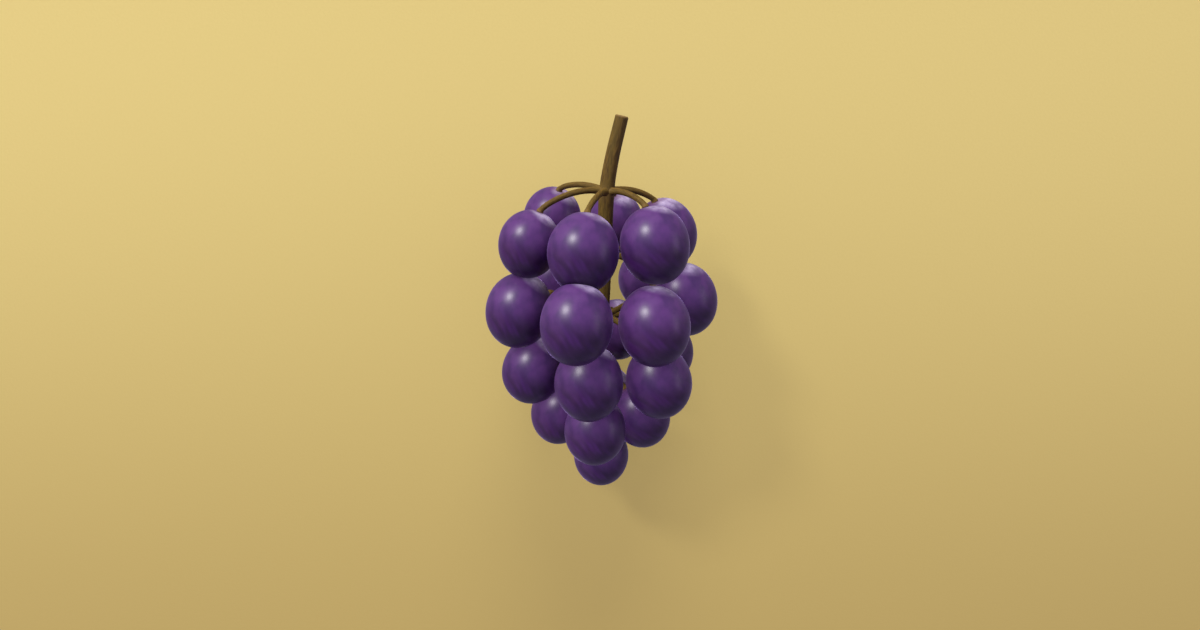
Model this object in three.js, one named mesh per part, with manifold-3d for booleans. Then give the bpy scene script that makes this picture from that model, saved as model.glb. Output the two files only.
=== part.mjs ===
// A bunch of large purple table grapes, as picked, lying on its back on a surface.
//
// Millimetres. The bunch is worked out as it hung: its axis is Z, the cut end of its stem is
// at the top and its front faces -Y. Then it is laid back with its front up, so that +Y points
// to the cut end of the stem and +Z up. The origin is on the surface, under the middle of it.

import * as THREE from "three";
import { mergeVertices } from "three/addons/utils/BufferGeometryUtils.js";
import Module from "manifold-3d";

const wasm = await Module();
wasm.setup();

const { clamp, degToRad, mapLinear } = THREE.MathUtils;
const UP = new THREE.Vector3(0, 0, 1);

// The tiers of the bunch, from the stem down. A tier is a ring of grapes: reach is the ring's
// radius, height is its place along the axis, turn is where its first grape hangs, in degrees
// from the front towards the right, and width is the girth of its grapes. hub is the height on
// the stem that its stalks grow from, lean is how far the grapes' tops lean in, and shoulder
// is how far from a grape's top its stalk meets it. crowding says how a grape was pushed off
// the ring by its neighbours: out, round in degrees, up and how much wider it grew. Where its
// stalk isn't as the tier's, it adds how far below the hub that leaves the stem, and its own
// shoulder.
const TIERS = [
  {
    reach: 27.5,
    height: 32.5,
    turn: -13,
    width: 24.5,
    hub: 49,
    lean: 15,
    shoulder: 20,
    crowding: [
      [-4.5, -3.5, -1.5, 1.5],
      [-0.5, -1, 0.5, 1],
      [-1, 0, -1, 0.5],
      [4.5, 2.5, -1.5, -0.5],
      [0, 0, 2.5, -1],
      [1, 0.5, -1.5, -1.5],
    ],
  },
  {
    reach: 32.5,
    height: 5,
    turn: -20,
    width: 26.5,
    hub: 24,
    lean: 15,
    shoulder: 64,
    crowding: [
      [4, 6, 3.5, -0.5, 24],
      [0, -3.5, -0.5, 0, 24],
      [1, -4, 0.5, 0],
      [1, -15.5, 2, -2.5, 0, 30],
      [0.5, -2, 1.5, 0],
      [0.5, 6, 0, -0.5, 24],
    ],
  },
  {
    reach: 28,
    height: -19.5,
    turn: -10,
    width: 25,
    hub: -1.5,
    lean: 15,
    shoulder: 35,
    crowding: [
      [0, 0.5, 2, 0.5],
      [0, 2.5, -2, 0.5],
      [0.5, 3, 0, 0],
      [-3.5, -7, 5, -1],
      [2.5, -4.5, -1.5, 0.5],
      [0, -9.5, -2, -0.5],
    ],
  },
  {
    reach: 17,
    height: -43,
    turn: -7,
    width: 24.5,
    hub: -25.5,
    lean: 15,
    shoulder: 30,
    crowding: [
      [0, -1.5, 0.5, 0],
      [-0.5, 0, 0, 0],
      [1, 0, -0.5, 0],
      [0.5, 0, -1, -0.5],
    ],
  },
];

// The one grape at the tip, on the axis
const TIP_HEIGHT = -63;
const TIP_WIDTH = 23;

// A grape's form, and how it gives way to what it presses on
const SLENDERNESS = 1.14; // length over width
const GRAPE_SIDES = 16;
const GRAPE_RINGS = 10;
const CONTACT_GAP = 0.3; // left open between two pieces that touch

// How the bunch lies
const LYING_TILT = 10; // degrees that the stem end is raised by the wider tiers under it
const AXIS_TO_SURFACE = 37; // from the middle of the axis down to the surface
const SETTLING = 2; // a grape that ends this near the surface comes to rest on it
const PRESS = 0.65; // how far a resting grape is flattened

// The stem: its line from the cut end down the middle of the bunch, and its radii
const STEM_LINE = [
  [7.6, 0, 77.3],
  [4, 0, 62],
  [2.1, 0, 50],
  [1.5, 0, 30],
  [1.1, 0, 9],
  [0, 0, -20],
];
const CUT_RADIUS = 2.5;
const NECK_RADIUS = 2.95;
const NECK_HEIGHT = 45;
const END_RADIUS = 1.3;
const STEM_SIDES = 10;
const STEM_STEPS = 20;
const STEM_SAMPLES = 400;

// The short stalk of one grape
const STALK_ROOT_RADIUS = 1.25;
const STALK_RADIUS = 1.05;
const STALK_CUSHION_RADIUS = 1.35; // the swelling that the grape sits on
const STALK_CUSHION_SHARE = 0.1; // of the stalk's length
const STALK_RISE = 20; // degrees above level where it leaves the stem
const STALK_ROOT_BOW = 0.44; // handles of its curve, as shares of its span
const STALK_END_BOW = 0.1;
const STALK_SIDES = 6;
const STALK_STEPS = 9;

const GRAPE_SKIN = { color: 0x552d69, roughness: 0.32, metalness: 0 };
const STEM_BARK = { color: 0x6e5528, roughness: 0.75, metalness: 0 };

const MERGE_TOLERANCE = 1e-4;

// A horizontal direction out from the axis, turned from the front towards the right.
function outwardAt(degrees) {
  const turn = degToRad(degrees);
  return new THREE.Vector3(Math.sin(turn), -Math.cos(turn), 0);
}

// A direction that points up and leans in, towards the axis, from a place out along outward.
function leaningIn(outward, degrees) {
  const lean = degToRad(degrees);
  return outward.clone().multiplyScalar(-Math.sin(lean)).setZ(Math.cos(lean));
}

// How far a grape reaches in a direction, to the plane that just touches it there.
function extent(grape, direction) {
  const along = direction.dot(grape.axis);
  return grape.radius * Math.sqrt(1 - along ** 2 + (SLENDERNESS * along) ** 2);
}

// The distance from a grape's middle to its skin, straight along a direction.
function skinDistance(grape, direction) {
  const along = direction.dot(grape.axis);
  return grape.radius / Math.sqrt(1 - along ** 2 + (along / SLENDERNESS) ** 2);
}

// Every grape as it hung: its middle, its long axis and where its stalk comes from.
function hangGrapes() {
  const grapes = [];
  TIERS.forEach((tier, level) => {
    tier.crowding.forEach((pushed, place) => {
      const [out, round, up, wider, lower = 0, shoulder = tier.shoulder] = pushed;
      const outward = outwardAt(tier.turn + (360 * place) / tier.crowding.length + round);
      grapes.push({
        name: `grape_${level + 1}_${place + 1}`,
        centre: outward.clone().multiplyScalar(tier.reach + out).setZ(tier.height + up),
        radius: (tier.width + wider) / 2,
        axis: leaningIn(outward, tier.lean),
        outward,
        stalkSide: leaningIn(outward, shoulder),
        rootHeight: tier.hub - lower,
      });
    });
  });
  grapes.push({
    name: `grape_${TIERS.length + 1}_1`,
    centre: UP.clone().multiplyScalar(TIP_HEIGHT),
    radius: TIP_WIDTH / 2,
    axis: UP.clone(),
  });
  return grapes;
}

// The way down to the surface, in the bunch's own hanging directions.
function downOntoBack() {
  const tilt = degToRad(LYING_TILT);
  return new THREE.Vector3(0, Math.cos(tilt), -Math.sin(tilt));
}

// Moves each grape that ends near the surface until it presses on it.
function settle(grapes, down) {
  for (const grape of grapes) {
    const short = AXIS_TO_SURFACE - grape.centre.dot(down) - extent(grape, down);
    grape.rests = Math.abs(short) < SETTLING;
    if (grape.rests) grape.centre.y += (short + PRESS) / down.y;
  }
}

// The planes that a grape stays behind, halfway to each neighbour that it would run into.
function contactPlanes(grape, grapes) {
  return grapes
    .filter((other) => other !== grape)
    .map((other) => {
      const normal = other.centre.clone().sub(grape.centre);
      const apart = normal.length();
      normal.divideScalar(apart);
      const difference = extent(grape, normal) - extent(other, normal);
      return { normal, distance: (apart + difference - CONTACT_GAP) / 2 };
    });
}

// A closed mesh as a solid that can be joined and cut.
function solidOf(geometry) {
  const bare = geometry.clone();
  bare.deleteAttribute("normal");
  bare.deleteAttribute("uv");
  const merged = mergeVertices(bare, MERGE_TOLERANCE);
  const vertProperties = merged.attributes.position.array;
  const triVerts = new Uint32Array(merged.index.array);
  return new wasm.Manifold(new wasm.Mesh({ numProp: 3, vertProperties, triVerts }));
}

function geometryOf(solid) {
  const { vertProperties, triVerts } = solid.getMesh();
  const geometry = new THREE.BufferGeometry();
  geometry.setAttribute("position", new THREE.BufferAttribute(vertProperties, 3));
  geometry.setIndex(new THREE.BufferAttribute(triVerts, 1));
  geometry.computeVertexNormals();
  return geometry;
}

// A grape round its own middle, long axis along Z: an ellipse turned about that axis, with
// every point beyond a contact plane drawn in to the plane.
function grapeForm(radius, planes) {
  const profile = [];
  for (let ring = 0; ring <= GRAPE_RINGS; ring += 1) {
    const angle = (Math.PI * ring) / GRAPE_RINGS;
    const fromAxis = ring % GRAPE_RINGS === 0 ? 0 : radius * Math.sin(angle);
    profile.push(new THREE.Vector2(fromAxis, -SLENDERNESS * radius * Math.cos(angle)));
  }
  const geometry = new THREE.LatheGeometry(profile, GRAPE_SIDES).rotateX(Math.PI / 2);
  const points = geometry.attributes.position;
  const point = new THREE.Vector3();
  for (let i = 0; i < points.count; i += 1) {
    point.fromBufferAttribute(points, i);
    for (const { normal, distance } of planes) {
      const height = point.dot(normal);
      if (height > distance) point.multiplyScalar(distance / height);
    }
    points.setXYZ(i, point.x, point.y, point.z);
  }
  geometry.computeVertexNormals();
  return geometry;
}

// Cuts off what stands out beyond a plane, for a true flat.
function cutBeyond(geometry, { normal, distance }, size) {
  const block = new THREE.BoxGeometry(size, size, size);
  block.translate(0, 0, distance + size / 2);
  block.applyQuaternion(new THREE.Quaternion().setFromUnitVectors(UP, normal));
  return geometryOf(solidOf(geometry).subtract(solidOf(block)));
}

function makeGrape(grape, grapes, down) {
  const stand = new THREE.Quaternion().setFromUnitVectors(UP, grape.axis);
  const toOwn = stand.clone().invert();
  const planes = contactPlanes(grape, grapes);
  for (const plane of planes) plane.normal.applyQuaternion(toOwn);
  let geometry = grapeForm(grape.radius, planes);
  if (grape.rests) {
    const surface = {
      normal: down.clone().applyQuaternion(toOwn),
      distance: AXIS_TO_SURFACE - grape.centre.dot(down),
    };
    geometry = cutBeyond(geometry, surface, 3 * grape.radius);
  }
  const mesh = new THREE.Mesh(geometry, new THREE.MeshStandardMaterial(GRAPE_SKIN));
  mesh.name = grape.name;
  mesh.position.copy(grape.centre);
  mesh.quaternion.copy(stand);
  return mesh;
}

// A round rod along a curve: the rings of a closed cylinder are carried onto the curve, each
// with the radius that radiusAt gives for its point and its share of the length.
function rodAlong(curve, radiusAt, sides, steps) {
  const geometry = new THREE.CylinderGeometry(1, 1, 1, sides, steps);
  const frames = curve.computeFrenetFrames(steps, false);
  const points = geometry.attributes.position;
  for (let i = 0; i < points.count; i += 1) {
    const step = Math.round((0.5 - points.getY(i)) * steps);
    const share = step / steps;
    const middle = curve.getPointAt(share);
    const radius = radiusAt(middle, share);
    const place = middle
      .addScaledVector(frames.normals[step], points.getX(i) * radius)
      .addScaledVector(frames.binormals[step], points.getZ(i) * radius);
    points.setXYZ(i, place.x, place.y, place.z);
  }
  return geometry;
}

// The stem's line ends just above the grape at the tip.
function stemCurve(tip) {
  const end = tip.centre.clone().addScaledVector(UP, extent(tip, UP) + CONTACT_GAP);
  return new THREE.CatmullRomCurve3([...STEM_LINE.map((p) => new THREE.Vector3(...p)), end]);
}

// The stem is thickest at its neck, and tapers to the cut end and to the tip.
function stemRadius(point) {
  const top = STEM_LINE[0][2];
  const radius =
    point.z > NECK_HEIGHT
      ? mapLinear(point.z, NECK_HEIGHT, top, NECK_RADIUS, CUT_RADIUS)
      : mapLinear(point.z, TIP_HEIGHT, NECK_HEIGHT, END_RADIUS, NECK_RADIUS);
  return clamp(radius, END_RADIUS, NECK_RADIUS);
}

// The radius of a grape's stalk: tapering from its root, then a cushion at the grape.
function stalkRadius(point, share) {
  const swelling = 1 - STALK_CUSHION_SHARE;
  return share > swelling
    ? mapLinear(share, swelling, 1, STALK_RADIUS, STALK_CUSHION_RADIUS)
    : mapLinear(share, 0, swelling, STALK_ROOT_RADIUS, STALK_RADIUS);
}

// A grape's stalk leaves the stem outwards and a little up, and arches down into the grape.
function stalkCurve(grape, root) {
  const reach = skinDistance(grape, grape.stalkSide) + CONTACT_GAP;
  const end = grape.centre.clone().addScaledVector(grape.stalkSide, reach);
  const span = root.distanceTo(end);
  const rise = degToRad(STALK_RISE);
  const leaving = grape.outward.clone().multiplyScalar(Math.cos(rise)).setZ(Math.sin(rise));
  return new THREE.CubicBezierCurve3(
    root,
    root.clone().addScaledVector(leaving, STALK_ROOT_BOW * span),
    end.clone().addScaledVector(grape.stalkSide, STALK_END_BOW * span),
    end,
  );
}

// The stem with every stalk, grown as one piece.
function makeStem(grapes) {
  const curve = stemCurve(grapes[grapes.length - 1]);
  const samples = curve.getPoints(STEM_SAMPLES);
  let solid = solidOf(rodAlong(curve, stemRadius, STEM_SIDES, STEM_STEPS));
  for (const grape of grapes.filter(({ stalkSide }) => stalkSide)) {
    const root = samples.find((point) => point.z <= grape.rootHeight);
    const stalk = stalkCurve(grape, root);
    solid = solid.add(solidOf(rodAlong(stalk, stalkRadius, STALK_SIDES, STALK_STEPS)));
  }
  const mesh = new THREE.Mesh(geometryOf(solid), new THREE.MeshStandardMaterial(STEM_BARK));
  mesh.name = "stem";
  return mesh;
}

// The whole bunch, laid on its back, with the origin under the middle of its box.
function makeBunch() {
  const down = downOntoBack();
  const grapes = hangGrapes();
  settle(grapes, down);
  const bunch = new THREE.Group();
  bunch.add(makeStem(grapes));
  for (const grape of grapes) bunch.add(makeGrape(grape, grapes, down));
  bunch.rotation.x = degToRad(LYING_TILT - 90);
  bunch.position.z = AXIS_TO_SURFACE;
  const middle = new THREE.Box3().setFromObject(bunch, true).getCenter(new THREE.Vector3());
  bunch.position.x -= middle.x;
  bunch.position.y -= middle.y;
  const part = new THREE.Group();
  part.add(bunch);
  return part;
}

export default makeBunch();
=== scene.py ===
"""The looks of a bunch of large purple grapes that lies on its back, in metres.

The bunch is described as it hung: right, back and up along its axis, with the cut end of the
stem at the top. Each grape is measured from its CAD node and made again as a fine skin, and
the stem with its stalks is carried along the same lines as the CAD stem.
"""

import math

import bpy
import numpy as np
from mathutils import Matrix


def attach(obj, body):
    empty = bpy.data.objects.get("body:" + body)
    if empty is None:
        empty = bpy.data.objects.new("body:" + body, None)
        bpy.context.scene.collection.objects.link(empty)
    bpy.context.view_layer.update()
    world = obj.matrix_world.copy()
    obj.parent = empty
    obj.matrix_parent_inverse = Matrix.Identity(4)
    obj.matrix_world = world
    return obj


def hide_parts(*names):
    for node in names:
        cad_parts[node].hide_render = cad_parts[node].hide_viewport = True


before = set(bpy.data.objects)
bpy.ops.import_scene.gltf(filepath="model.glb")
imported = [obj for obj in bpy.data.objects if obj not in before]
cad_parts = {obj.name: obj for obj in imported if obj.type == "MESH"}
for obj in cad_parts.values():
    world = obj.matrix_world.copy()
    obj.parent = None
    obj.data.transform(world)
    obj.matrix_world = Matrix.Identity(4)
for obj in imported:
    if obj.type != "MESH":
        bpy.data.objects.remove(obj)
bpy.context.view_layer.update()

MM = 0.001
SEED = 23

# How the bunch lies: its three hanging directions, laid down
LYING_TILT = math.radians(10)
RIGHT = np.array([1.0, 0.0, 0.0])
BACK = np.array([0.0, math.sin(LYING_TILT), -math.cos(LYING_TILT)])
UP = np.array([0.0, math.cos(LYING_TILT), math.sin(LYING_TILT)])
HANGING = np.array([RIGHT, BACK, UP])

# The grapes, tier by tier from the stem down: how many, how far their tops lean in, how far
# from the top the stalk meets each, in degrees, and the height that their stalks grow from.
# Four stalks of the second tier differ: they leave lower, or meet their grape nearer its top.
TIER_COUNTS = (6, 6, 6, 4, 1)
TIER_LEANS = (15, 15, 15, 15, 0)
TIER_SHOULDERS = (20, 64, 35, 30, 0)
TIER_HUBS = (49 * MM, 24 * MM, -1.5 * MM, -25.5 * MM)
OWN_DROPS = {"grape_2_1": 24 * MM, "grape_2_2": 24 * MM, "grape_2_6": 24 * MM}
OWN_SHOULDERS = {"grape_2_4": 30}
TIP_HEIGHT = -63 * MM
SLENDERNESS = 1.14

# How the CAD grapes are measured: points further inside than the tolerance are flattened ones,
# and a grape whose lowest point is this near the floor rests on it
FIT_PASSES = 12
FIRST_TOLERANCE = 0.4 * MM
LAST_TOLERANCE = 0.02 * MM
AXIS_PASSES = 4
REST_TOLERANCE = 0.01 * MM

# The skin of a grape
SKIN_ROWS = 72
SKIN_COLUMNS = 96
SKIN_GAP = 0.06 * MM
FLAT_SHARPNESS = 60
UNEVENNESS = 0.006
DIMPLE_DEPTH = 0.55 * MM
DIMPLE_WIDTH = math.radians(11)
SCAR_DEPTH = 0.22 * MM
SCAR_WIDTH = math.radians(4)
STREAK_SLANT = math.radians(42)
SKIN_RELIEF = 0.04 * MM

# The stem, with the cut end first
STEM_LINE = np.array([
    (7.6, 0, 77.3),
    (4, 0, 62),
    (2.1, 0, 50),
    (1.5, 0, 30),
    (1.1, 0, 9),
    (0, 0, -20),
]) * MM
CUT_RADIUS = 2.5 * MM
CUT_ROUNDING = 0.5 * MM
CUT_NARROWING = 0.3 * MM
NECK_RADIUS = 2.95 * MM
NECK_HEIGHT = 45 * MM
END_RADIUS = 1.3 * MM
HUB_SWELLING = 0.07
HUB_LENGTH = 2.2 * MM
STEM_RINGS = 300
STEM_COLUMNS = 48
STEM_RIBS = 0.012
STEM_TWIST = 25
GRAIN_STRETCH = 6
BARK_RELIEF = 0.18 * MM

# The stalk of a grape
STALK_ROOT_RADIUS = 1.25 * MM
STALK_RADIUS = 1.05 * MM
CUSHION_RADIUS = 1.35 * MM
CUSHION_LENGTH = 1.6 * MM
CUSHION_SINK = 0.33 * MM
COLLAR_START = 0.9 * NECK_RADIUS
COLLAR_SPREAD = 0.55 * MM
COLLAR_LENGTH = 1.1 * MM
STALK_RISE = math.radians(20)
STALK_ROOT_BOW = 0.44
STALK_END_BOW = 0.1
STALK_RINGS = 70
STALK_COLUMNS = 28
STALK_RIBS = 0.015
STALK_TWIST = 300

# The photograph's camera: 1200 by 630, a vertical angle of 45 degrees, above the grapes
FRAME_WIDTH = 1200
FOCAL_PIXELS = 760.5
SENSOR = 36.0
CAMERA_DISTANCE = 304.2 * MM
CAMERA_RAISE = math.radians(18.7)
CAMERA_ASIDE = -0.52 * MM

# The lights: the way to each, as shares of right, up in the picture and towards the camera,
# its distance and its size in metres, and its power in watts
KEY = {"way": (-0.52, 0.53, 0.67), "distance": 5.0, "size": (0.9, 0.9)}
KEY_POWER = 52.0
FILL_POWER = 210.0
CROWN = {"way": (0.05, 0.90, 0.44), "distance": 2.4, "size": (1.2, 1.2), "power": 30.0}
SIDE = {"way": (0.92, 0.08, 0.38), "distance": 1.2, "size": (0.2, 0.8), "power": 1.2}
LIGHT_COLOUR = (1.0, 0.98, 0.96)
WORLD_TONE = (218, 206, 250)
WORLD_STRENGTH = 0.36

# The floor: half its side, and where along the bunch its painted shade starts and where it is
# darkest
FLOOR_HALF = 4.0
FLOOR_PALE_FROM = 0.12
FLOOR_DARK_FROM = -0.2
FLOOR_RELIEF = 0.04 * MM


def unit(vectors):
    """Vectors scaled to length one along their last axis."""
    return vectors / np.linalg.norm(vectors, axis=-1, keepdims=True)


def smooth(low, high, values):
    """Zero up to low, one from high, and a smooth S between them."""
    share = np.clip((values - low) / (high - low), 0, 1)
    return share * share * (3 - 2 * share)


def bell(distances, width):
    """One at no distance, falling as a bell curve that is down to 1/e at the width."""
    return np.exp(-((distances / width) ** 2))


def full_turn(columns):
    """Angles evenly spaced round a full turn."""
    return np.linspace(0, 2 * math.pi, columns, endpoint=False)


# Meshes


def poles_once(grid):
    """A grid as a list, its first row and its last each given once."""
    inner = grid[1:-1].reshape(-1, *grid.shape[2:])
    return np.concatenate([grid[:1, 0], inner, grid[-1:, 0]])


def capped(grid):
    """A grid with one more row at each end, all of it at the mean of the row beside it."""
    ends = (row.mean(1, keepdims=True) for row in (grid[:1], grid[-1:]))
    first, last = (np.repeat(end, grid.shape[1], 1) for end in ends)
    return np.concatenate([first, grid, last])


def closed_mesh(name, points, attributes):
    """A closed skin over a grid of points that runs round in each row. The first row and the
    last are a single point each, and a fan of triangles joins it to the row beside it. Each
    attribute holds a number or a vector for every point of the grid."""
    rows, columns = points.shape[:2]
    here = np.arange(columns)
    after = (here + 1) % columns
    rings = np.arange(rows - 2)[:, None] * columns + 1
    end = (rows - 2) * columns + 1
    upper, lower = rings[:-1], rings[1:]
    sides = [upper + here, upper + after, lower + after, lower + here]
    quads = np.stack([side.ravel() for side in sides], 1)
    first_fan = np.stack([0 * here, rings[0] + after, rings[0] + here], 1)
    last_fan = np.stack([0 * here + end, rings[-1] + here, rings[-1] + after], 1)
    mesh = bpy.data.meshes.new(name)
    faces = first_fan.tolist() + quads.tolist() + last_fan.tolist()
    mesh.from_pydata(poles_once(points).tolist(), [], faces)
    for key, values in attributes.items():
        kind, field = ("FLOAT", "value") if values.ndim == 2 else ("FLOAT_VECTOR", "vector")
        store = mesh.attributes.new(key, kind, "POINT")
        store.data.foreach_set(field, poles_once(values).astype(np.float32).ravel())
    mesh.polygons.foreach_set("use_smooth", np.ones(len(mesh.polygons), bool))
    mesh.update()
    return mesh


def place(name, mesh, material):
    """A new object with a mesh that already holds its place."""
    mesh.materials.clear()
    mesh.materials.append(material)
    piece = bpy.data.objects.new(name, mesh)
    bpy.context.scene.collection.objects.link(piece)
    return piece


def dress(piece, node):
    """Hides the CAD node that a piece stands for, and hangs the piece on the root body."""
    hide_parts(node)
    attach(piece, "root")


# Measuring the CAD grapes


def node_points(name):
    """The points of a CAD node's mesh, each one once."""
    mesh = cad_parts[name].data
    points = np.empty(len(mesh.vertices) * 3, np.float32)
    mesh.vertices.foreach_get("co", points)
    return np.unique(points.reshape(-1, 3).round(7), axis=0).astype(float)


def fit_grape(points, axis):
    """The middle and the radius of the grape that points lie on: squeezed along the axis by
    the slenderness they lie on a sphere, |p|^2 = 2 p.c + (r^2 - |c|^2), which is solved by
    least squares. Flattened points lie inside it and are left out, pass by pass."""
    squeeze = np.eye(3) - np.outer(axis, axis) * (1 - 1 / SLENDERNESS)
    squeezed = points @ squeeze
    keep = np.ones(len(points), bool)
    for each_pass in range(FIT_PASSES):
        kept = squeezed[keep]
        terms = np.c_[2 * kept, np.ones(len(kept))]
        answer = np.linalg.lstsq(terms, (kept**2).sum(1), rcond=None)[0]
        middle = answer[:3]
        radius = math.sqrt(answer[3] + middle @ middle)
        inside = radius - np.linalg.norm(squeezed - middle, axis=1)
        keep = inside < max(LAST_TOLERANCE, FIRST_TOLERANCE / (1 + each_pass))
    return middle @ np.linalg.inv(squeeze), radius


def leaning_in(outward, degrees):
    """A direction that points up the axis and leans in towards it."""
    lean = math.radians(degrees)
    return UP * math.cos(lean) - outward * math.sin(lean)


def measure_grape(name, tier, origin):
    """A grape's middle, radius, long axis and stalk side. The axis depends on where the
    middle is, so the two are worked out in turn."""
    points = node_points(name)
    middle = points.mean(0)
    for _ in range(AXIS_PASSES):
        across = middle - origin
        across = across - UP * (across @ UP)
        outward = unit(across) if TIER_LEANS[tier] else BACK
        axis = leaning_in(outward, TIER_LEANS[tier])
        middle, radius = fit_grape(points, axis)
    return {
        "name": name,
        "tier": tier,
        "middle": middle,
        "radius": radius,
        "axis": axis,
        "outward": outward,
        "stalk_side": leaning_in(outward, OWN_SHOULDERS.get(name, TIER_SHOULDERS[tier])),
        "rests": points[:, 2].min() < REST_TOLERANCE,
    }


def measure_bunch():
    """The bunch's own origin, from the grape at the tip, and every grape."""
    tip_middle, _ = fit_grape(node_points("grape_5_1"), UP)
    origin = tip_middle - UP * TIP_HEIGHT
    grapes = []
    for tier, count in enumerate(TIER_COUNTS):
        for number in range(count):
            grapes.append(measure_grape(f"grape_{tier + 1}_{number + 1}", tier, origin))
    return origin, grapes


# Grapes


def extent(grape, direction):
    """How far a grape reaches in a direction, to the plane that just touches it there."""
    along = direction @ grape["axis"]
    return grape["radius"] * math.sqrt(1 - along**2 + (SLENDERNESS * along) ** 2)


def skin_distance(grape, direction):
    """The distance from a grape's middle to its skin, straight along a direction."""
    along = direction @ grape["axis"]
    return grape["radius"] / math.sqrt(1 - along**2 + (along / SLENDERNESS) ** 2)


def flats(grape, grapes):
    """The planes that flatten a grape, as normals and distances from its middle: one halfway
    to each neighbour, and the surface under a grape that rests on it."""
    normals = []
    distances = []
    for other in grapes:
        if other is grape:
            continue
        apart = other["middle"] - grape["middle"]
        distance = np.linalg.norm(apart)
        normal = apart / distance
        reach = distance + extent(grape, normal) - extent(other, normal) - SKIN_GAP
        normals.append(normal)
        distances.append(reach / 2)
    if grape["rests"]:
        normals.append(np.array([0.0, 0.0, -1.0]))
        distances.append(grape["middle"][2])
    return np.array(normals), np.array(distances)


def grape_mesh(grape, grapes, draw):
    """A grape's skin, round its long axis: a point at longitude u and latitude v is an
    ellipse's, made slightly uneven by slow waves in u and v. Its distance r from the middle
    then gives way to each flat at distance d: r becomes (r^-p + sum (d / cos)^-p)^(-1/p),
    which is near the lesser of them and rounds the edge of the flat. Last, the skin dips
    by a bell curve of the angle from the stalk and from the scar at the other end."""
    axis = grape["axis"]
    side = unit(RIGHT - axis * (RIGHT @ axis))
    depth = np.cross(axis, side)
    v = np.linspace(0, math.pi, SKIN_ROWS + 1)[:, None]
    u = full_turn(SKIN_COLUMNS)[None, :]
    across = np.sin(v)
    own = np.stack([across * np.cos(u), across * np.sin(u), np.cos(v) + 0 * u], -1)
    waves = draw.uniform(0, 2 * math.pi, 3)
    uneven = np.sin(2 * u + waves[0]) + np.sin(3 * v + waves[1]) + np.sin(u + 2 * v + waves[2])
    swell = 1 + UNEVENNESS * uneven * across**2
    local = own * np.array([1, 1, SLENDERNESS]) * (grape["radius"] * swell)[..., None]
    offsets = local @ np.array([side, depth, axis])
    distance = np.linalg.norm(offsets, axis=-1)
    ways = offsets / distance[..., None]
    normals, reaches = flats(grape, grapes)
    press = np.maximum(ways @ normals.T, 0) / reaches * distance[..., None]
    distance = distance * (1 + (press**FLAT_SHARPNESS).sum(-1)) ** (-1 / FLAT_SHARPNESS)
    stalk_end = bell(np.arccos(np.clip(ways @ grape["stalk_side"], -1, 1)), DIMPLE_WIDTH)
    scar_end = bell(math.pi - v + 0 * u, SCAR_WIDTH)
    distance = distance - DIMPLE_DEPTH * stalk_end - SCAR_DEPTH * scar_end
    attributes = {
        "own": own,
        "stalk_end": stalk_end,
        "scar_end": scar_end,
        "shade": np.full(distance.shape, draw.uniform(0, 1)),
    }
    points = grape["middle"] + ways * distance[..., None]
    return closed_mesh(grape["name"], points, attributes)


# The stem


def curve_through(points, count):
    """A smooth line through points by centripetal Catmull-Rom spans, count samples in all."""
    ends = np.concatenate([[2 * points[0] - points[1]], points, [2 * points[-1] - points[-2]]])
    knots = np.concatenate([[0], np.cumsum(np.linalg.norm(np.diff(ends, axis=0), axis=1) ** 0.5)])
    t = np.linspace(knots[1], knots[-2], count)
    span = np.clip(np.searchsorted(knots, t, "right") - 1, 1, len(points) - 1)
    p0, p1, p2, p3 = (ends[span + step] for step in (-1, 0, 1, 2))
    t0, t1, t2, t3 = (knots[span + step][:, None] for step in (-1, 0, 1, 2))
    t = t[:, None]
    a1 = (t1 - t) / (t1 - t0) * p0 + (t - t0) / (t1 - t0) * p1
    a2 = (t2 - t) / (t2 - t1) * p1 + (t - t1) / (t2 - t1) * p2
    a3 = (t3 - t) / (t3 - t2) * p2 + (t - t2) / (t3 - t2) * p3
    b1 = (t2 - t) / (t2 - t0) * a1 + (t - t0) / (t2 - t0) * a2
    b2 = (t3 - t) / (t3 - t1) * a2 + (t - t1) / (t3 - t1) * a3
    return (t2 - t) / (t2 - t1) * b1 + (t - t1) / (t2 - t1) * b2


def lengths_along(line):
    """The distance from the start of a line to each of its points."""
    steps = np.linalg.norm(np.diff(line, axis=0), axis=1)
    return np.concatenate([[0], np.cumsum(steps)])


def rod_mesh(name, line, radii, across, masks):
    """A rod: at each point of a line, a ring in the plane square to it, at the radius that
    the row of radii gives in every direction. The line stays square to the direction across,
    so the rings don't twist. The grain attribute is the place round the rod and, drawn out,
    along it, and each mask is a number for every point of the line."""
    columns = radii.shape[1]
    angle = full_turn(columns)
    tangents = unit(np.gradient(line, axis=0))
    normals = unit(np.cross(across, tangents))
    others = np.cross(tangents, normals)
    spokes = normals[:, None] * np.cos(angle)[:, None] + others[:, None] * np.sin(angle)[:, None]
    drawn_out = lengths_along(line)[:, None] / (GRAIN_STRETCH * radii.mean())
    grain = np.stack(np.broadcast_arrays(np.cos(angle), np.sin(angle), drawn_out), -1)
    attributes = {"grain": capped(grain)}
    for key, values in masks.items():
        attributes[key] = capped(np.repeat(values[:, None], columns, 1))
    return closed_mesh(name, capped(line[:, None] + spokes * radii[..., None]), attributes)


def stem_line(origin, tip):
    """The stem's line, from the cut end to just above the grape at the tip."""
    end = tip["middle"] + UP * extent(tip, UP)
    return curve_through(np.concatenate([origin + STEM_LINE @ HANGING, [end]]), STEM_RINGS)


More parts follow.
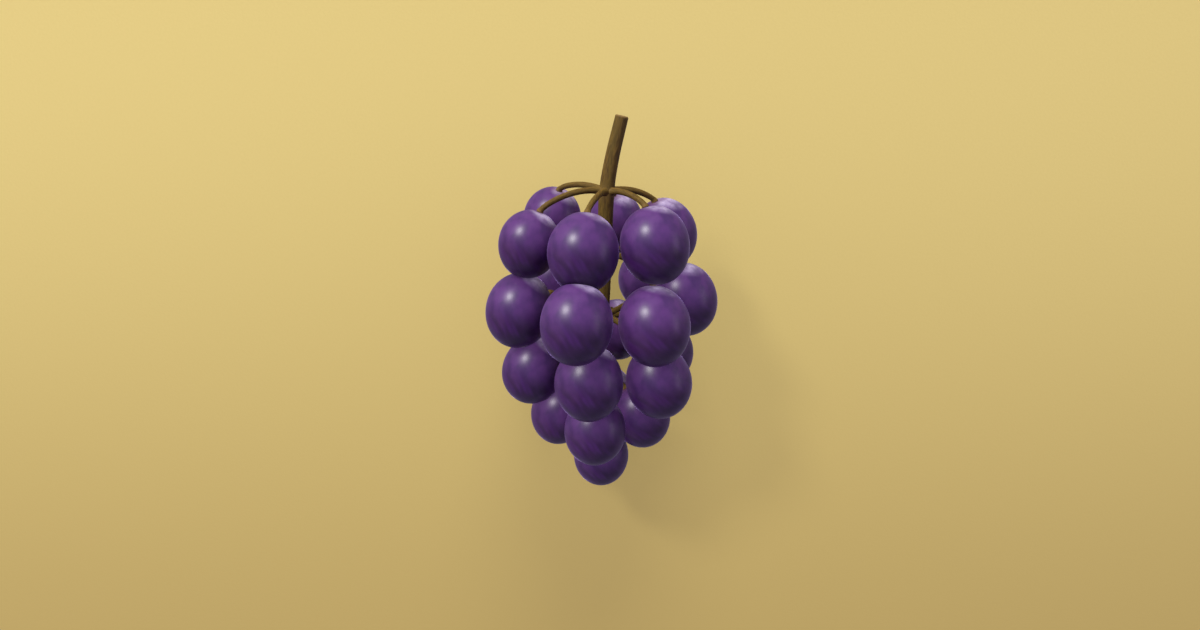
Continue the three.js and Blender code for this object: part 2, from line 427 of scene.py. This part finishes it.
def main_stem(line, origin, draw):
    """The main stem: thickest at its neck and tapering both ways, a little swollen at each hub,
    with shallow lengthwise ribs, and its cut end rounded over at the rim."""
    height = (line - origin) @ UP
    top = STEM_LINE[0][2]
    upper = np.interp(height, [NECK_HEIGHT, top], [NECK_RADIUS, CUT_RADIUS])
    lower = np.interp(height, [TIP_HEIGHT, NECK_HEIGHT], [END_RADIUS, NECK_RADIUS])
    knots = sum(bell(height - hub, HUB_LENGTH) for hub in TIER_HUBS)
    radius = np.where(height > NECK_HEIGHT, upper, lower) * (1 + HUB_SWELLING * knots)
    from_cut = lengths_along(line)
    rounding = 1 - np.clip(from_cut / CUT_ROUNDING, 0, 1)
    radius = radius - CUT_NARROWING * (1 - np.sqrt(1 - rounding**2))
    angle = full_turn(STEM_COLUMNS)
    phases = draw.uniform(0, 2 * math.pi, 3)
    turn = from_cut[:, None] * STEM_TWIST
    ribs = (
        np.sin(5 * angle + phases[0] + turn)
        + np.sin(8 * angle + phases[1] - 2 * turn)
        + np.sin(3 * angle + phases[2] + 1.5 * turn)
    )
    masks = {"knot": knots, "cut": (rounding == 1).astype(float)}
    return rod_mesh("main_stem", line, radius[:, None] * (1 + STEM_RIBS * ribs), BACK, masks)


def stalk(grape, line, origin, draw):
    """A grape's stalk: a cubic Bezier curve that leaves the stem outwards and a little up and
    comes down to the grape. It is a spreading collar where it grows out of the stem, tapers,
    and ends in a cushion sunk in the grape's dimple."""
    root_height = TIER_HUBS[grape["tier"]] - OWN_DROPS.get(grape["name"], 0)
    root = line[np.argmin(np.abs((line - origin) @ UP - root_height))]
    side = grape["stalk_side"]
    end = grape["middle"] + side * (skin_distance(grape, side) - CUSHION_SINK)
    span = np.linalg.norm(end - root)
    leaving = grape["outward"] * math.cos(STALK_RISE) + UP * math.sin(STALK_RISE)
    root_handle = root + leaving * STALK_ROOT_BOW * span
    end_handle = end + side * STALK_END_BOW * span
    t = np.linspace(0, 1, STALK_RINGS)[:, None]
    first_half = root * (1 - t) ** 3 + 3 * root_handle * (1 - t) ** 2 * t
    path = first_half + 3 * end_handle * (1 - t) * t**2 + end * t**3
    from_root = lengths_along(path)
    from_end = from_root[-1] - from_root
    collar = np.exp(-np.clip(from_root - COLLAR_START, 0, None) / COLLAR_LENGTH)
    cushion = 1 - smooth(0, CUSHION_LENGTH, from_end)
    radius = np.interp(from_root, [0, from_root[-1]], [STALK_ROOT_RADIUS, STALK_RADIUS])
    radius = radius + COLLAR_SPREAD * collar + (CUSHION_RADIUS - STALK_RADIUS) * cushion
    angle = full_turn(STALK_COLUMNS)
    phases = draw.uniform(0, 2 * math.pi, 2)
    turn = from_root[:, None] * STALK_TWIST
    ribs = np.sin(3 * angle + phases[0]) + np.sin(4 * angle + phases[1] + turn)
    radii = radius[:, None] * (1 + STALK_RIBS * ribs)
    masks = {"knot": np.maximum(collar, cushion)}
    return rod_mesh(f"stalk_{grape['name']}", path, radii, np.cross(grape["outward"], UP), masks)


def join_meshes(name, meshes):
    """One mesh of several, joined without change."""
    pieces = []
    for mesh in meshes:
        piece = bpy.data.objects.new(mesh.name, mesh)
        bpy.context.scene.collection.objects.link(piece)
        pieces.append(piece)
    first = pieces[0]
    chosen = {"object": first, "active_object": first, "selected_editable_objects": pieces}
    with bpy.context.temp_override(**chosen):
        bpy.ops.object.join()
    joined = first.data
    bpy.data.objects.remove(first)
    joined.name = name
    return joined


# Materials


class Wire:
    """A value in a material's node tree. Sums of wires and numbers add their Math nodes."""

    def __init__(self, finish, socket):
        self.finish = finish
        self.socket = socket

    def math(self, operation, first, second):
        return self.finish.node("Math", {"operation": operation}, {0: first, 1: second})

    def __add__(self, other):
        return self.math("ADD", self, other)

    def __radd__(self, other):
        return self.math("ADD", other, self)

    def __sub__(self, other):
        return self.math("SUBTRACT", self, other)

    def __mul__(self, other):
        return self.math("MULTIPLY", self, other)

    def __rmul__(self, other):
        return self.math("MULTIPLY", other, self)


class Finish:
    """A material and the nodes that make it."""

    def __init__(self, name):
        self.material = bpy.data.materials.new(name)
        self.material.use_nodes = True
        self.tree = self.material.node_tree
        self.shader = self.tree.nodes["Principled BSDF"]

    def node(self, kind, settings, sockets, output=0):
        """Adds a node, sets it, and gives its sockets their values or links. Its result is the
        output named or numbered output."""
        made = self.tree.nodes.new("ShaderNode" + kind)
        for key, value in settings.items():
            setattr(made, key, value)
        for key, value in sockets.items():
            self.feed(made.inputs[key], value)
        return Wire(self, made.outputs[output])

    def feed(self, socket, value):
        """Links a wire to a socket, or sets the socket to a value."""
        if isinstance(value, Wire):
            self.tree.links.new(value.socket, socket)
        else:
            socket.default_value = value

    def attribute(self, name, output="Fac"):
        """What the mesh holds for each point under a name."""
        return self.node("Attribute", {"attribute_name": name}, {}, output)

    def parts(self, vector):
        """The three numbers of a vector."""
        split = self.node("SeparateXYZ", {}, {0: vector})
        return [Wire(self, socket) for socket in split.socket.node.outputs]

    def moved(self, vector, offset):
        """A vector with an offset added, a number or a vector."""
        return self.node("VectorMath", {"operation": "ADD"}, {0: vector, 1: offset})

    def drawn(self, vector, turn, scale):
        """A vector turned, then scaled by a number for each of its directions."""
        turned = self.node("Mapping", {"vector_type": "POINT"}, {"Vector": vector, "Rotation": turn})
        return self.node("VectorMath", {"operation": "MULTIPLY"}, {0: turned, 1: scale})

    def noise(self, vector, scale, detail=2.0, roughness=0.5):
        """Noise from zero to one, finer by the scale, with finer and rougher detail on it."""
        sockets = {"Vector": vector, "Scale": scale, "Detail": detail, "Roughness": roughness}
        return self.node("TexNoise", {}, sockets, "Fac")

    def between(self, low, high, value):
        """Zero up to low, one from high, smooth between them."""
        sockets = {"Value": value, "From Min": low, "From Max": high}
        return self.node("MapRange", {"interpolation_type": "SMOOTHSTEP"}, sockets)

    def blend(self, share, first, second):
        """Between two colours."""
        return self.node("Mix", {"data_type": "RGBA"}, {0: share, 6: first, 7: second}, 2)

    def bump(self, height, distance):
        """A normal for a relief with this height, drawn as deep as the distance."""
        return self.node("Bump", {}, {"Height": height, "Distance": distance}, "Normal")

    def set(self, sockets):
        """Feeds the surface's own sockets."""
        for key, value in sockets.items():
            self.feed(self.shader.inputs[key], value)


def tone(red, green, blue):
    """A colour as a picture shows it, 0 to 255, in the linear light that a shader works in."""
    shown = np.array([red, green, blue]) / 255
    linear = np.where(shown <= 0.04045, shown / 12.92, ((shown + 0.055) / 1.055) ** 2.4)
    return (*linear.tolist(), 1.0)


def grape_skin():
    """Taut purple skin: blotches of redder and bluer purple, soft slanting streaks in the
    lower half, painted shade that darkens the lower half and more so towards the scar, a
    thin dusty wax, a pale cloudy patch at the top by the stalk that is a painted highlight,
    and a soft gloss with a pale sheen at the rims."""
    skin = Finish("grape_skin")
    own = skin.attribute("own", "Vector")
    shade = skin.attribute("shade")
    side, depth, height = skin.parts(own)
    patches = skin.between(0.35, 0.65, skin.noise(own, scale=2.4))
    tinted = skin.noise(skin.moved(own, shade * 3.0), scale=2.3, detail=3.0)
    tints = skin.between(0.4, 0.65, tinted)
    slanted = skin.drawn(own, turn=(0, STREAK_SLANT, 0), scale=(4.6, 1.6, 1.1))
    streaks = skin.between(0.3, 0.67, skin.noise(slanted, scale=1.0, detail=1.0))
    clouded = skin.noise(skin.moved(own, shade * 5.0), scale=3.2, detail=5.0)
    clouds = skin.between(0.32, 0.68, clouded)
    dust = skin.noise(own, scale=2.2, detail=4.0)
    # Painted shade: the lower half of each grape is darker, and darker still towards the scar.
    painted_shade_below = skin.between(0.35, -0.35, height)
    painted_shade_to_scar = skin.between(-0.3, -1.0, height)
    # Painted highlight: a pale cloudy patch at the top right of each grape, beside the stalk.
    top_painted_highlight = skin.between(0.82, 1.01, height * 0.945 + side * 0.32 - depth * 0.06)
    scar = skin.between(0.5, 0.8, skin.attribute("scar_end"))
    upper_colour = skin.blend(patches, tone(60, 31, 86), tone(78, 38, 102))
    streaks_and_painted_shade = skin.blend(streaks, tone(38, 0, 52), tone(68, 24, 94))
    streaks_and_painted_shade = skin.blend(tints * 0.4, streaks_and_painted_shade, tone(54, 0, 64))
    # Painted shade: the darker streaked colour laid over the lower half, then deeper towards the
    # scar.
    colour = skin.blend(painted_shade_below * 0.85, upper_colour, streaks_and_painted_shade)
    colour = skin.blend(painted_shade_to_scar * 0.65, colour, tone(22, 0, 44))
    colour = skin.blend(shade * 0.08, colour, tone(92, 36, 92))
    # A faint pale dust all over the skin, plus the painted highlight at the top.
    dust_and_painted_highlight = dust * 0.05 + (0.28 + 0.55 * clouds) * top_painted_highlight
    colour = skin.blend(dust_and_painted_highlight, colour, tone(196, 183, 216))
    colour = skin.blend(skin.attribute("stalk_end") * 0.6, colour, tone(104, 62, 70))
    colour = skin.blend(scar, colour, tone(96, 70, 48))
    relief = skin.noise(own, scale=3.0) + 0.3 * skin.noise(own, scale=60.0)
    skin.set({
        "Base Color": colour,
        "Roughness": 0.33 + 0.09 * dust,
        "Normal": skin.bump(relief, SKIN_RELIEF),
        "IOR": 1.42,
        "Sheen Weight": 0.42,
        "Sheen Roughness": 0.24,
        "Sheen Tint": tone(186, 156, 240),
    })
    return skin.material


def stem_bark():
    """Olive brown bark: long fibres of lighter and darker brown along the grain, paler at the
    joints, partly as painted light that lifts the shade under the stalks, with small pale
    flecks, matt and finely ribbed. The cut end shows paler wood."""
    bark = Finish("stem_bark")
    grain = bark.attribute("grain", "Vector")
    fibres = bark.noise(grain, scale=4.0, detail=6.0, roughness=0.6)
    patches = bark.between(0.35, 0.7, bark.noise(grain, scale=1.2, detail=3.0))
    flecks = bark.between(0.66, 0.74, bark.noise(grain, scale=9.0, detail=1.0))
    colour = bark.blend(bark.between(0.3, 0.7, fibres), tone(70, 50, 10), tone(112, 86, 28))
    colour = bark.blend(patches * 0.5, colour, tone(94, 78, 20))
    # Paler at the joints: partly painted light that lifts the shade under the stalks.
    colour = bark.blend(bark.attribute("knot") * 0.55, colour, tone(120, 94, 48))
    colour = bark.blend(flecks * 0.5, colour, tone(136, 110, 58))
    colour = bark.blend(bark.attribute("cut") * 0.6, colour, tone(146, 118, 72))
    bark.set({
        "Base Color": colour,
        "Roughness": 0.62 + 0.2 * fibres,
        "Normal": bark.bump(fibres + flecks * 0.4, BARK_RELIEF),
        "Specular IOR Level": 0.35,
    })
    return bark.material


def floor_paper():
    """Pale sand-coloured matt paper with a very fine tooth, with painted shade that makes it a
    little darker towards the tip end of the bunch."""
    paper = Finish("floor_paper")
    place_on = paper.node("TexCoord", {}, {}, "Object")
    along = paper.parts(place_on)[1]
    tooth = paper.noise(place_on, scale=900.0, detail=4.0)
    sand = paper.blend(tooth, tone(217, 197, 121), tone(221, 201, 125))
    # Painted shade: the floor grows darker towards the tip end of the bunch.
    darker = paper.between(FLOOR_PALE_FROM, FLOOR_DARK_FROM, along)
    paper.set({
        "Base Color": paper.blend(darker, sand, tone(190, 167, 98)),
        "Roughness": 0.9,
        "Normal": paper.bump(tooth, FLOOR_RELIEF),
        "Specular IOR Level": 0.2,
    })
    return paper.material


# Camera, floor and light


def add_camera(origin):
    """Looks at the middle of the bunch as the photograph does, raised above its front. Gives
    the target and the directions that are right, up and towards the camera in the picture."""
    target = origin + RIGHT * CAMERA_ASIDE
    near = BACK * -math.cos(CAMERA_RAISE) + UP * math.sin(CAMERA_RAISE)
    above = UP * math.cos(CAMERA_RAISE) + BACK * math.sin(CAMERA_RAISE)
    view = np.array([RIGHT, above, near])
    data = bpy.data.cameras.new("camera")
    data.sensor_width = SENSOR
    data.lens = SENSOR * FOCAL_PIXELS / FRAME_WIDTH
    data.clip_start = 10 * MM
    camera = bpy.data.objects.new("camera", data)
    bpy.context.scene.collection.objects.link(camera)
    camera.location = target + near * CAMERA_DISTANCE
    camera.rotation_mode = "QUATERNION"
    camera.rotation_quaternion = Matrix(view.T.tolist()).to_quaternion()
    bpy.context.scene.camera = camera
    return target, view


def add_floor():
    """A wide flat floor under the bunch. It lights the grapes, but they don't mirror it."""
    mesh = bpy.data.meshes.new("floor")
    corners = [(-FLOOR_HALF, -FLOOR_HALF, 0), (FLOOR_HALF, -FLOOR_HALF, 0)]
    corners += [(FLOOR_HALF, FLOOR_HALF, 0), (-FLOOR_HALF, FLOOR_HALF, 0)]
    mesh.from_pydata(corners, [], [(0, 1, 2, 3)])
    floor = place("floor", mesh, floor_paper())
    floor.visible_glossy = False


def add_light(name, target, view, way, distance, size, power, casts=True, unseen=()):
    """A soft oval light that shines at the target. Its way is given by the directions of the
    view, and its size is its width and its height in the picture. The kinds of ray in unseen
    don't meet it."""
    data = bpy.data.lights.new(name, "AREA")
    data.shape = "ELLIPSE"
    data.size, data.size_y = size
    data.energy = power
    data.color = LIGHT_COLOUR
    data.use_shadow = casts
    light = bpy.data.objects.new(name, data)
    bpy.context.scene.collection.objects.link(light)
    way = unit(np.array(way) @ view)
    across = unit(np.cross(view[1], way))
    turn = np.array([across, np.cross(way, across), way])
    light.location = target + way * distance
    light.rotation_mode = "QUATERNION"
    light.rotation_quaternion = Matrix(turn.T.tolist()).to_quaternion()
    for kind in unseen:
        setattr(light, "visible_" + kind, False)


def add_world(colour, strength):
    """Even light from all round."""
    world = bpy.data.worlds.new("studio")
    world.use_nodes = True
    background = world.node_tree.nodes["Background"]
    background.inputs["Color"].default_value = colour
    background.inputs["Strength"].default_value = strength
    bpy.context.scene.world = world


def build():
    """The grapes, the stem, and the floor, camera and lights that show them."""
    draw = np.random.default_rng(SEED)
    origin, grapes = measure_bunch()
    target, view = add_camera(origin)
    skin = grape_skin()
    for grape in grapes:
        piece = place("ripe_" + grape["name"], grape_mesh(grape, grapes, draw), skin)
        dress(piece, grape["name"])
    line = stem_line(origin, grapes[-1])
    rods = [main_stem(line, origin, draw)]
    rods += [stalk(grape, line, origin, draw) for grape in grapes[:-1]]
    stem = place("woody_stem", join_meshes("woody_stem", rods), stem_bark())
    dress(stem, "stem")
    add_floor()
    add_light("key", target, view, **KEY, power=KEY_POWER)
    add_light("key_fill", target, view, **KEY, power=FILL_POWER, casts=False)
    add_light("crown", target, view, **CROWN, unseen=["glossy"])
    add_light("side", target, view, **SIDE, unseen=["diffuse"])
    add_world(tone(*WORLD_TONE), WORLD_STRENGTH)
    bpy.context.scene.view_settings.view_transform = "Standard"


build()
